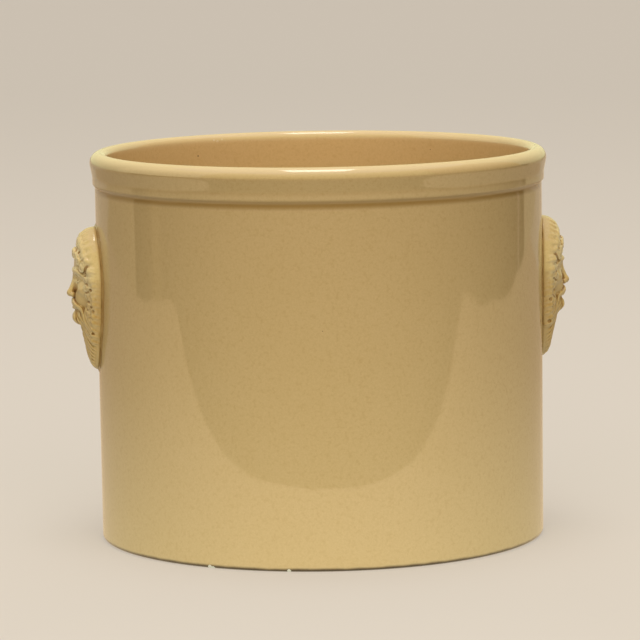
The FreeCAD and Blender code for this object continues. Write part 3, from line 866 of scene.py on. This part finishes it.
# ------------------------------------------------------------------ materials
class Nodes:
    """Short hand for building a material's node tree."""

    def __init__(self, name):
        self.mat = bpy.data.materials.new(name)
        self.mat.use_nodes = True
        self.nt = self.mat.node_tree
        self.nt.nodes.clear()
        self.out = self.nt.nodes.new("ShaderNodeOutputMaterial")
        self.pos = self.nt.nodes.new("ShaderNodeTexCoord").outputs["Object"]

    def add(self, kind, **props):
        n = self.nt.nodes.new(kind)
        for k, v in props.items():
            setattr(n, k, v)
        return n

    def put(self, socket, value):
        if isinstance(value, bpy.types.NodeSocket):
            self.nt.links.new(value, socket)
        elif value is not None:
            socket.default_value = value

    def math(self, op, a, b=None, c=None, clamp=False):
        n = self.add("ShaderNodeMath", operation=op, use_clamp=clamp)
        for s, v in zip(n.inputs, (a, b, c)):
            self.put(s, v)
        return n.outputs[0]

    def vmath(self, op, a, b=None, scale=None):
        n = self.add("ShaderNodeVectorMath", operation=op)
        self.put(n.inputs[0], a)
        if b is not None:
            self.put(n.inputs[1], b)
        if scale is not None:
            self.put(n.inputs["Scale"], scale)
        return n.outputs["Value"] if op in ("DISTANCE", "LENGTH", "DOT_PRODUCT") else n.outputs[0]

    def noise(self, scale, detail=2.0, rough=0.5, vec=None, dist=0.0):
        n = self.add("ShaderNodeTexNoise")
        self.put(n.inputs["Vector"], vec if vec is not None else self.pos)
        self.put(n.inputs["Scale"], scale)
        self.put(n.inputs["Detail"], detail)
        self.put(n.inputs["Roughness"], rough)
        self.put(n.inputs["Distortion"], dist)
        return n.outputs["Fac"]

    def ramp(self, fac, lo, hi, a=0.0, b=1.0, smooth=True):
        n = self.add("ShaderNodeMapRange", interpolation_type="SMOOTHSTEP" if smooth else "LINEAR")
        for s, v in zip((0, 1, 2, 3, 4), (fac, lo, hi, a, b)):
            self.put(n.inputs[s], v)
        return n.outputs[0]

    def mix(self, fac, a, b, kind="MIX"):
        n = self.add("ShaderNodeMix", data_type="RGBA", blend_type=kind)
        self.put(n.inputs[0], fac)
        self.put(n.inputs[6], a)
        self.put(n.inputs[7], b)
        return n.outputs[2]

    def xyz(self):
        n = self.add("ShaderNodeSeparateXYZ")
        self.put(n.inputs[0], self.pos)
        return n.outputs

    def attr(self, name):
        n = self.add("ShaderNodeAttribute", attribute_name=name)
        return n.outputs["Fac"]

    def bump(self, height, distance, strength=1.0, normal=None):
        n = self.add("ShaderNodeBump")
        self.put(n.inputs["Height"], height)
        self.put(n.inputs["Distance"], distance)
        self.put(n.inputs["Strength"], strength)
        if normal is not None:
            self.put(n.inputs["Normal"], normal)
        return n.outputs[0]

    def principled(self, color, rough, normal=None, ior=1.6, **extra):
        n = self.add("ShaderNodeBsdfPrincipled")
        self.put(n.inputs["Base Color"], color)
        self.put(n.inputs["Roughness"], rough)
        n.inputs["IOR"].default_value = ior
        if normal is not None:
            self.put(n.inputs["Normal"], normal)
        for k, v in extra.items():
            self.put(n.inputs[k.replace("_", " ")], v)
        self.nt.links.new(n.outputs[0], self.out.inputs[0])
        return n


BODY = (0.640, 0.452, 0.200, 1)
# pale glaze colour: thinner glaze, and also painted light on the lip and the band's lower edge
THIN_AND_LIT = (0.760, 0.610, 0.350, 1)
POOL = (0.360, 0.205, 0.055, 1)
BISQUE = (0.600, 0.500, 0.360, 1)


def dots(m, spots):
    """A mask that is 1 inside small round spots, each (x, y, z, radius) in millimetres."""
    total = None
    for x, y, z, r in spots:
        d = m.vmath("DISTANCE", m.pos, (x * MM, y * MM, z * MM))
        s = m.ramp(d, r * 0.55 * MM, r * MM, 1.0, 0.0)
        total = s if total is None else m.math("MAXIMUM", total, s)
    return total


def iron(m, density, seed=0.0):
    """Sparse iron specks: a few of the cells of a fine cell pattern carry a dot."""
    v = m.add("ShaderNodeTexVoronoi", feature="F1")
    off = m.vmath("ADD", m.pos, (seed, seed * 0.7, -seed))
    m.put(v.inputs["Vector"], off)
    m.put(v.inputs["Scale"], 150.0)
    sep = m.add("ShaderNodeSeparateColor")
    m.put(sep.inputs[0], v.outputs["Color"])
    chosen = m.ramp(sep.outputs[0], 1.0 - density, 1.0 - density + 0.0005, 0, 1)
    size = m.ramp(sep.outputs[1], 0.0, 1.0, 0.025, 0.06, False)
    dot = m.math("LESS_THAN", v.outputs["Distance"], size)
    return m.math("MULTIPLY", chosen, dot)


def mottled(m, base=BODY):
    """The glaze's own unevenness: cloudy patches, a fine grain and a few pinholes."""
    cloud = m.ramp(m.noise(26.0, 3.0, 0.55), 0.3, 0.7)
    grain = m.ramp(m.noise(1300.0, 3.0, 0.7), 0.3, 0.7)
    flecks = m.ramp(m.noise(640.0, 3.0, 0.6), 0.48, 0.72)
    base = (base[0] * 1.005, base[1] * 1.005, base[2] * 1.04, 1)
    col = m.mix(m.math("MULTIPLY", cloud, 0.16), base, (base[0] * 1.10, base[1] * 1.12, base[2] * 1.25, 1))
    col = m.mix(m.math("MULTIPLY", grain, 0.42), col, (base[0] * 0.86, base[1] * 0.82, base[2] * 0.72, 1))
    col = m.mix(m.math("MULTIPLY", flecks, 0.44), col, (base[0] * 0.84, base[1] * 0.79, base[2] * 0.66, 1))
    return col


def glaze_bump(m, amount=1.0):
    h = m.math("ADD", m.math("MULTIPLY", m.noise(95.0, 2.0, 0.5), 1.0), m.math("MULTIPLY", m.noise(330.0, 2.0, 0.55), 0.22))
    return m.bump(h, 0.00007 * amount)



SPECK = (0.075, 0.040, 0.015, 1)
# specks, a scuff and two small chips where the pot has them
SPECKS_AT = [(-93.0, -32.6, 114.7, 0.34), (-85.5, -49.4, 147.1, 0.3), (-44.7, -87.6, 83.7, 0.24), (-73.3, -65.7, 95.8, 0.24),
             (-55.1, -81.8, 124.7, 0.26), (-73.2, 57.1, 169.6, 0.4), (-46.2, 80.4, 161.8, 0.5), (59.9, 70.7, 163.0, 0.34),
             (20.9, -96.9, 166.7, 0.36), (67.6, -73.2, 157.3, 0.36)]
SCUFFS_AT = [(-36.8, 85.1, 168.0, 0.9), (-38.4, 84.4, 168.6, 0.7), (-34.6, 86.2, 168.8, 0.6)]
CHIPS_AT = [(-57.0, -78.4, 0.9, 1.5), (-55.8, -79.4, 0.6, 1.0), (-25.2, -94.0, 0.6, 1.1)]


def finish_glaze(m, col, rough=(0.025, 0.05), bump=0.4, extra_rough=None, ior=1.8):
    r = m.ramp(m.noise(60.0, 3.0), 0.3, 0.7, rough[0], rough[1])
    if extra_rough is not None:
        r = m.math("ADD", r, extra_rough)
    m.principled(col, r, glaze_bump(m, bump), ior)
    return m.mat


# ---- wall
m = Nodes("cream_glaze")
sep = m.xyz()
x, y, z = sep[0], sep[1], sep[2]
col = mottled(m)
rad = m.math("SQRT", m.math("ADD", m.math("MULTIPLY", x, x), m.math("MULTIPLY", y, y)))
outside = m.ramp(rad, 0.0955, 0.0965)
# the lip is paler: partly thinner glaze, partly painted light from above
lip_thin_and_toplit = m.ramp(z, 0.1662, 0.1702)
col = m.mix(m.math("MULTIPLY", lip_thin_and_toplit, 0.8), col, THIN_AND_LIT)
# painted highlight: a faint pale line along the lower corner of the band
band_edge_highlight = m.math("MULTIPLY", m.ramp(z, 0.1573, 0.1579), m.ramp(z, 0.1600, 0.1585))
col = m.mix(m.math("MULTIPLY", m.math("MULTIPLY", band_edge_highlight, outside), 0.12), col, THIN_AND_LIT)
on_band = m.math("MULTIPLY", m.ramp(z, 0.1585, 0.1600), m.math("SUBTRACT", 1.0, lip_thin_and_toplit))
col = m.mix(m.math("MULTIPLY", m.math("MULTIPLY", on_band, outside), 0.10), col, POOL)
# painted shade under the band, partly pooled glaze: the cove is coloured dark amber
cove_pool_and_shade = m.math("MULTIPLY", m.ramp(z, 0.1526, 0.1550), m.ramp(z, 0.1577, 0.1566))
col = m.mix(m.math("MULTIPLY", m.math("MULTIPLY", cove_pool_and_shade, outside), 0.85), col, POOL)
low = m.math("MULTIPLY", m.ramp(z, 0.0250, 0.0190), m.math("SUBTRACT", 1.0, outside))
col = m.mix(m.math("MULTIPLY", low, 0.25), col, POOL)
specks = m.math("MAXIMUM", m.math("MULTIPLY", iron(m, 0.010, 0.31), 0.75), m.math("MULTIPLY", dots(m, SPECKS_AT), 0.85))
col = m.mix(specks, col, SPECK)
scuff = m.math("MULTIPLY", dots(m, SCUFFS_AT), m.ramp(m.noise(900.0, 2.0), 0.35, 0.6))
col = m.mix(m.math("MULTIPLY", scuff, 0.7), col, (0.80, 0.70, 0.52, 1))
# painted contact shadow: a near-black line round the outside of the foot, with a ragged upper edge
ragged = m.math("MULTIPLY", m.math("SUBTRACT", m.noise(160.0, 3.0), 0.5), 0.0016)
shaded = m.math("MULTIPLY", m.ramp(m.math("ADD", z, m.math("MULTIPLY", ragged, 0.5)), 0.00210, 0.00070), m.ramp(rad, 0.0955, 0.0965))
col = m.mix(m.math("MULTIPLY", shaded, 0.97), col, (0.030, 0.013, 0.003, 1))
foot = m.ramp(z, 0.00016, 0.00005)
chip = m.math("MAXIMUM", foot, m.ramp(m.math("ADD", dots(m, CHIPS_AT), m.math("MULTIPLY", m.math("SUBTRACT", m.noise(700.0, 2.0), 0.5), 0.8)), 0.35, 0.5))
clay_col = m.mix(m.noise(350.0, 4.0), BISQUE, (0.72, 0.64, 0.50, 1))
col = m.mix(chip, col, clay_col)
GLAZE_WALL = finish_glaze(m, col, extra_rough=m.math("MULTIPLY", chip, 0.6))

# ---- floor: glazed above and below, thinner below
m = Nodes("cream_glaze_floor")
sep = m.xyz()
x, y, z = sep[0], sep[1], sep[2]
rad = m.math("SQRT", m.math("ADD", m.math("MULTIPLY", x, x), m.math("MULTIPLY", y, y)))
col = mottled(m)
pool = m.math("MULTIPLY", m.ramp(rad, 0.060, 0.082), m.ramp(z, 0.0085, 0.0095))
col = m.mix(m.math("MULTIPLY", pool, 0.22), col, POOL)
ring = m.ramp(m.math("SINE", m.math("MULTIPLY", rad, 2600.0)), -0.4, 1.0)
worn = m.math("MULTIPLY", m.ramp(m.noise(45.0, 4.0, 0.65), 0.48, 0.66), m.ramp(rad, 0.078, 0.040))
worn = m.math("MULTIPLY", worn, m.ramp(z, 0.0085, 0.0095))
col = m.mix(m.math("MULTIPLY", worn, 0.20), col, THIN_AND_LIT)
under = m.ramp(z, 0.0060, 0.0050)
thin_under = m.mix(ring, (0.58, 0.45, 0.27, 1), (0.66, 0.53, 0.34, 1))
thin_under = m.mix(m.ramp(m.noise(30.0, 4.0, 0.6), 0.45, 0.7), thin_under, BODY)
col = m.mix(m.math("MULTIPLY", under, 0.85), col, thin_under)
col = m.mix(m.math("MULTIPLY", iron(m, 0.02, 1.7), 0.75), col, SPECK)
GLAZE_FLOOR = finish_glaze(m, col, rough=(0.05, 0.12), bump=1.0, extra_rough=m.math("ADD", m.math("MULTIPLY", under, 0.22), m.math("MULTIPLY", worn, 0.12)))

# ---- seam, where glaze ran down and pooled
m = Nodes("cream_glaze_pooled")
sep = m.xyz()
z = sep[2]
col = mottled(m)
col = m.mix(m.ramp(m.math("ADD", z, m.math("MULTIPLY", m.noise(70.0, 2.0), 0.004)), 0.0215, 0.0125, 0.10, 0.34), col, POOL)
GLAZE_SEAM = finish_glaze(m, col, rough=(0.04, 0.08))

# ---- masks: amber in the hollows, partly pooled glaze and partly painted shade; darker amber low down as painted shade; pale on the highs
m = Nodes("cream_glaze_relief")
col = mottled(m, (0.780, 0.600, 0.280, 1))
col = m.mix(m.math("MULTIPLY", m.attr("highs"), 0.75), col, (0.860, 0.715, 0.410, 1))
msep = m.xyz()
# painted shade: darker amber over the lower part of the mask, less on the highs
lower_shade = m.ramp(msep[2], (MASK_MID + 17.0) * MM, (MASK_MID - 6.0) * MM)
col = m.mix(m.math("MULTIPLY", lower_shade, m.ramp(m.attr("highs"), 0.0, 1.0, 0.84, 0.68)), col, (0.560, 0.350, 0.105, 1))
# painted shade in the hollows, partly pooled glaze: darker amber, darkest in the deepest places
deep = m.attr("hollow")
col = m.mix(m.ramp(deep, 0.12, 0.8, 0.0, 0.75), col, (0.470, 0.285, 0.085, 1))
col = m.mix(m.ramp(deep, 0.55, 1.0, 0.0, 0.8), col, (0.340, 0.190, 0.060, 1))
col = m.mix(m.math("MULTIPLY", iron(m, 0.01, 2.9), 0.7), col, SPECK)
GLAZE_MASK = finish_glaze(m, col, rough=(0.03, 0.07), bump=0.4)

# ---- the bead of slip round each mask: dark amber, partly pooled glaze and partly painted shade beside the mask
m = Nodes("amber_glaze_bead")
col = mottled(m, (0.430, 0.262, 0.085, 1))
col = m.mix(m.ramp(m.noise(120.0, 3.0), 0.4, 0.65, 0.0, 0.5), col, (0.300, 0.160, 0.042, 1))
GLAZE_BEAD = finish_glaze(m, col, rough=(0.05, 0.10))

for ob, mat, slot in (
    (wall, GLAZE_WALL, "glaze_body"),
    (base_plate, GLAZE_FLOOR, "glaze_floor"),
    (coil, GLAZE_SEAM, "glaze_floor"),
    (masks[0], GLAZE_MASK, "glaze_mask"),
    (masks[1], GLAZE_MASK, "glaze_mask"),
    (slips[0], GLAZE_BEAD, "fired_slip"),
    (slips[1], GLAZE_BEAD, "fired_slip"),
):
    ob.data.materials.append(mat)

# colour and strength of every light and card, set against one another for a soft, warm studio
PAPER = (0.340, 0.330, 0.318)
PAPER_GLOW = (1.0, 0.88, 0.74)
PAPER_NEAR, PAPER_FAR = 0.385, 0.315
GLOW = {
    "g_room": ((1.0, 1.0, 1.0), 0.000),
    "g_back": ((1.0, 0.774, 0.513), 0.645),
    "g_left_back": ((1.0, 0.721, 0.371), 0.498),
    "g_right_back": ((1.0, 0.777, 0.439), 0.570),
    "g_table": ((1.0, 0.697, 0.4), 0.585),
    "g_table_near": ((1.0, 0.76, 0.492), 0.780),
    "g_left_dark": ((1.0, 1.0, 1.0), 0.000),
    "g_left_pale": ((1.0, 0.661, 0.279), 0.183),
    "g_right_dark": ((1.0, 1.0, 1.0), 0.000),
    "g_right_line": ((1.0, 0.692, 0.519), 0.347),
    "d_room": ((1.0, 1.0, 1.0), 0.000),
    "d_table": ((0.802, 0.985, 0.945), 0.977),
    "d_table_left": ((1.0, 0.95, 0.88), 0.000),
    "d_table_right": ((1.0, 0.95, 0.88), 0.000),
    "d_table_back": ((1.0, 0.94, 0.85), 0.420),
    "d_dome_front": ((1.0, 0.819, 0.825), 1.114),
    "d_dome_right": ((1.0, 0.95, 0.82), 0.080),
    "d_dome_back": ((1.0, 0.94, 0.84), 0.850),
    "d_dome_left": ((1.0, 0.95, 0.85), 0.060),
    "d_dome_top": ((1.0, 0.916, 0.720), 1.060),
    "g_dome_front": ((1.0, 0.886, 0.283), 0.824),
    "g_dome_right": ((1.0, 0.717, 0.232), 0.642),
    "g_dome_back": ((1.0, 0.95, 0.528), 0.880),
    "g_dome_left": ((1.0, 0.894, 0.504), 1.278),
    "g_dome_top": ((1.0, 0.94, 0.76), 0.850),
    "overhead": ((1.0, 0.97, 0.90), 3.550),
    "front": ((0.931, 1.0, 0.684), 17.740),
}


# ------------------------------------------------------------------ stage, light and camera
# Everything here is laid out as the camera sees it, then turned with the camera to face the pot
# from a little to the left of square-on.
TURN = math.radians(6.4)


def faced(x, y, z=0.0):
    c, s = math.cos(TURN), math.sin(TURN)
    return Vector((x * c + y * s, -x * s + y * c, z))


def glowing(name, color, glow):
    mat = bpy.data.materials.new(name)
    mat.use_nodes = True
    b = mat.node_tree.nodes["Principled BSDF"]
    b.inputs["Base Color"].default_value = (0, 0, 0, 1)
    b.inputs["Roughness"].default_value = 1.0
    b.inputs["Specular IOR Level"].default_value = 0.0
    b.inputs["Emission Color"].default_value = (*color, 1)
    b.inputs["Emission Strength"].default_value = glow
    return mat


def fading(name):
    """A glow that changes with the distance from the pot."""
    m = Nodes(name)
    sep = m.xyz()
    r = m.math("SQRT", m.math("ADD", m.math("MULTIPLY", sep[0], sep[0]), m.math("MULTIPLY", sep[1], sep[1])))
    near, far = ([c * GLOW[key][1] for c in GLOW[key][0]] + [1] for key in (name + "_near", name))
    col = m.mix(m.ramp(r, 0.12, 0.75), near, far)
    p = m.principled((0, 0, 0, 1), 1.0)
    p.inputs["Specular IOR Level"].default_value = 0.0
    m.put(p.inputs["Emission Color"], col)
    p.inputs["Emission Strength"].default_value = 1.0
    return m.mat


def seen_by(ob, camera=False, diffuse=False, glossy=False, shadow=False):
    ob.visible_camera = camera
    ob.visible_diffuse = diffuse
    ob.visible_glossy = glossy
    ob.visible_shadow = shadow
    ob.visible_transmission = False
    ob.visible_volume_scatter = False


# a pale floor that rises into a plain backdrop all round, far outside every camera
prof = [(0.05, 0.0), (0.25, 0.0), (1.0, 0.0), (3.2, 0.0)]
prof += [(3.2 + 2.4 * math.sin(a), 2.4 - 2.4 * math.cos(a)) for a in np.linspace(0.08, math.pi / 2, 14)]
prof += [(5.6, 3.4)]
segs = 96
sv, sf = [], []
for i in range(segs):
    a = 2 * math.pi * i / segs
    for r, zz in prof:
        sv.append((r * math.cos(a) * 1000, r * math.sin(a) * 1000, zz * 1000))
k = len(prof)
sv.append((0, 0, 0))
for i in range(segs):
    i2 = (i + 1) % segs
    sf.append((len(sv) - 1, i * k, i2 * k))
    for j in range(k - 1):
        sf.append((i * k + j, i * k + j + 1, i2 * k + j + 1, i2 * k + j))
ground = mesh_object("stage_floor", sv, sf)
paper = Nodes("stage_paper")
psep = paper.xyz()
prad = paper.math("SQRT", paper.math("ADD", paper.math("MULTIPLY", psep[0], psep[0]), paper.math("MULTIPLY", psep[1], psep[1])))
paper.principled((*PAPER, 1), 0.9, None, 1.5)
pb = [n for n in paper.mat.node_tree.nodes if n.type == "BSDF_PRINCIPLED"][0]
pb.inputs["Specular IOR Level"].default_value = 0.0
pb.inputs["Emission Color"].default_value = (*PAPER_GLOW, 1)
paper.put(pb.inputs["Emission Strength"], paper.ramp(prad, 0.25, 3.0, PAPER_NEAR, PAPER_FAR))
ground.data.materials.append(paper.mat)
seen_by(ground, camera=True)

# what the glaze mirrors, and what light the floor throws back on the pot, are plain glowing cards
# lying just under the floor: the pale table with its front edge, and the dimmer room beyond it
TABLE = [(-0.955, -0.20), (-0.88, -0.252), (-0.72, -0.262), (-0.55, -0.268), (-0.39, -0.275), (-0.23, -0.281),
         (-0.15, -0.289), (-0.08, -0.297), (0.03, -0.300), (0.10, -0.291), (0.17, -0.285), (0.33, -0.280), (0.57, -0.280),
         (0.75, -0.282), (0.85, -0.277), (0.97, -0.262), (0.955, -0.18), (0.925, -0.05), (0.93, 0.11), (0.90, 0.20),
         (0.89, 0.28), (0.93, 0.44), (0.95, 0.9), (-0.95, 0.9), (-0.948, 0.17)]
CARDS = {
    "g_room": ([(-6, -6), (6, -6), (6, 6), (-6, 6)], -0.0022, "glossy"),
    "g_back": ([(-6, 0.9), (6, 0.9), (6, 6), (-6, 6)], -0.0020, "glossy"),
    "g_left_back": ([(-6, 1.933), (-0.90, 0.219), (-0.90, 0.95), (-6, 4.0)], -0.0018, "glossy"),
    "g_right_back": ([(0.90, 0.658), (6, 5.06), (6, 6), (0.90, 6)], -0.0018, "glossy"),
    "g_left_dark": ([(-6, 1.933), (-0.90, 0.219), (-0.90, 0.004), (-6, 0.450)], -0.0016, "glossy"),
    "g_left_pale": ([(-6, 0.450), (-0.90, 0.004), (-0.90, -0.095), (-6, -0.238)], -0.0014, "glossy"),
    "g_right_dark": ([(0.90, -0.026), (6, 0.240), (6, 5.06), (0.90, 0.658)], -0.0014, "glossy"),
    "g_right_line": ([(0.90, 0.478), (6, 3.94), (6, 4.30), (0.90, 0.504)], -0.0012, "glossy"),
    "g_table": (TABLE, -0.0010, "glossy"),
    "d_room": ([(-6, -6), (6, -6), (6, 6), (-6, 6)], -0.0020, "diffuse"),
    "d_table": ([(-0.20, -0.285), (0.20, -0.285), (0.20, 0.0), (-0.20, 0.0)], -0.0016, "diffuse"),
    "d_table_left": ([(-0.90, -0.285), (-0.20, -0.285), (-0.20, 0.0), (-0.90, 0.0)], -0.0016, "diffuse"),
    "d_table_right": ([(0.20, -0.285), (0.92, -0.285), (0.92, 0.0), (0.20, 0.0)], -0.0016, "diffuse"),
    "d_table_back": ([(-0.90, 0.14), (0.92, 0.14), (0.92, 0.9), (-0.90, 0.9)], -0.0016, "diffuse"),
}
for name, (corners, z, kind) in CARDS.items():
    pts = [faced(x, y, z) * 1000 for x, y in corners]
    ob = mesh_object("stage_" + name, [tuple(p) for p in pts], [tuple(range(len(pts)))])
    ob.data.materials.append(fading(name) if name == "g_table" else glowing(name, *GLOW[name]))
    seen_by(ob, diffuse=kind == "diffuse", glossy=kind == "glossy")

# the room above, in five parts: in front, behind, left, right and overhead
DOMES = {"front": (-150, -30, 0, 50), "right": (-30, 30, 0, 50), "back": (30, 150, 0, 50), "left": (150, 210, 0, 50), "top": (-180, 180, 50, 90)}
for kind in ("d", "g"):
    for name, (a0, a1, e0, e1) in DOMES.items():
        na, ne = max(6, (a1 - a0) // 10), 6
        dv, df = [], []
        for i in range(na + 1):
            a = math.radians(a0 + (a1 - a0) * i / na)
            for j in range(ne + 1):
                e = math.radians(e0 + (e1 - e0) * j / ne * (1.0 if e1 < 90 else 0.9999))
                p = faced(9.0 * math.cos(a) * math.cos(e), 9.0 * math.sin(a) * math.cos(e), 9.0 * math.sin(e))
                dv.append(tuple(p * 1000))
        for i in range(na):
            for j in range(ne):
                q = i * (ne + 1) + j
                df.append((q, q + 1, q + ne + 2, q + ne + 1))
        ob = mesh_object("stage_" + kind + "_dome_" + name, dv, df)
        key = kind + "_dome_" + name
        ob.data.materials.append(glowing(key, *GLOW[key]))
        seen_by(ob, diffuse=kind == "d", glossy=kind == "g")

world = bpy.data.worlds.new("studio")
bpy.context.scene.world = world
world.use_nodes = True
world.node_tree.nodes["Background"].inputs[0].default_value = (0, 0, 0, 1)
world.node_tree.nodes["Background"].inputs[1].default_value = 0.0


def softbox(name, at, size, gloss, aim=(0, 0, 0.09)):
    color, watts = GLOW[name]
    l = bpy.data.lights.new(name, "AREA")
    l.shape = "RECTANGLE"
    l.size, l.size_y = size
    l.energy = watts
    l.color = color
    ob = bpy.data.objects.new(name, l)
    bpy.context.scene.collection.objects.link(ob)
    p = faced(*at)
    d = faced(*aim) - p
    ob.matrix_world = Matrix.Translation(p) @ d.to_track_quat("-Z", "Y").to_matrix().to_4x4()
    ob.visible_glossy = gloss
    return ob


softbox("overhead", (0.0, -0.06, 1.45), (0.40, 0.60), True)
softbox("front", (0.0, -2.6, 1.25), (2.4, 1.2), False)

cam_d = bpy.data.cameras.new("camera")
cam_d.sensor_width = 36.0
cam_d.lens = 3999.29 / 640 * 36.0
cam_d.clip_start, cam_d.clip_end = 0.05, 60.0
cam = bpy.data.objects.new("camera", cam_d)
bpy.context.scene.collection.objects.link(cam)
D, E, ROLL = 1.76992, math.radians(7.279), math.radians(-0.821)
TX, TZ = -0.000068, 0.094667
eye = faced(TX, -D * math.cos(E), TZ + D * math.sin(E))
fwd = faced(0, math.cos(E), -math.sin(E))
right = faced(1, 0, 0)
up = right.cross(fwd)
r2 = math.cos(ROLL) * right + math.sin(ROLL) * up
u2 = -math.sin(ROLL) * right + math.cos(ROLL) * up
cam.matrix_world = Matrix(
    ((r2.x, u2.x, -fwd.x, eye.x), (r2.y, u2.y, -fwd.y, eye.y), (r2.z, u2.z, -fwd.z, eye.z), (0, 0, 0, 1))
)
bpy.context.scene.camera = cam

vs = bpy.context.scene.view_settings
vs.view_transform = "Standard"
vs.look = "None"
vs.exposure = 0.0
vs.gamma = 1.0
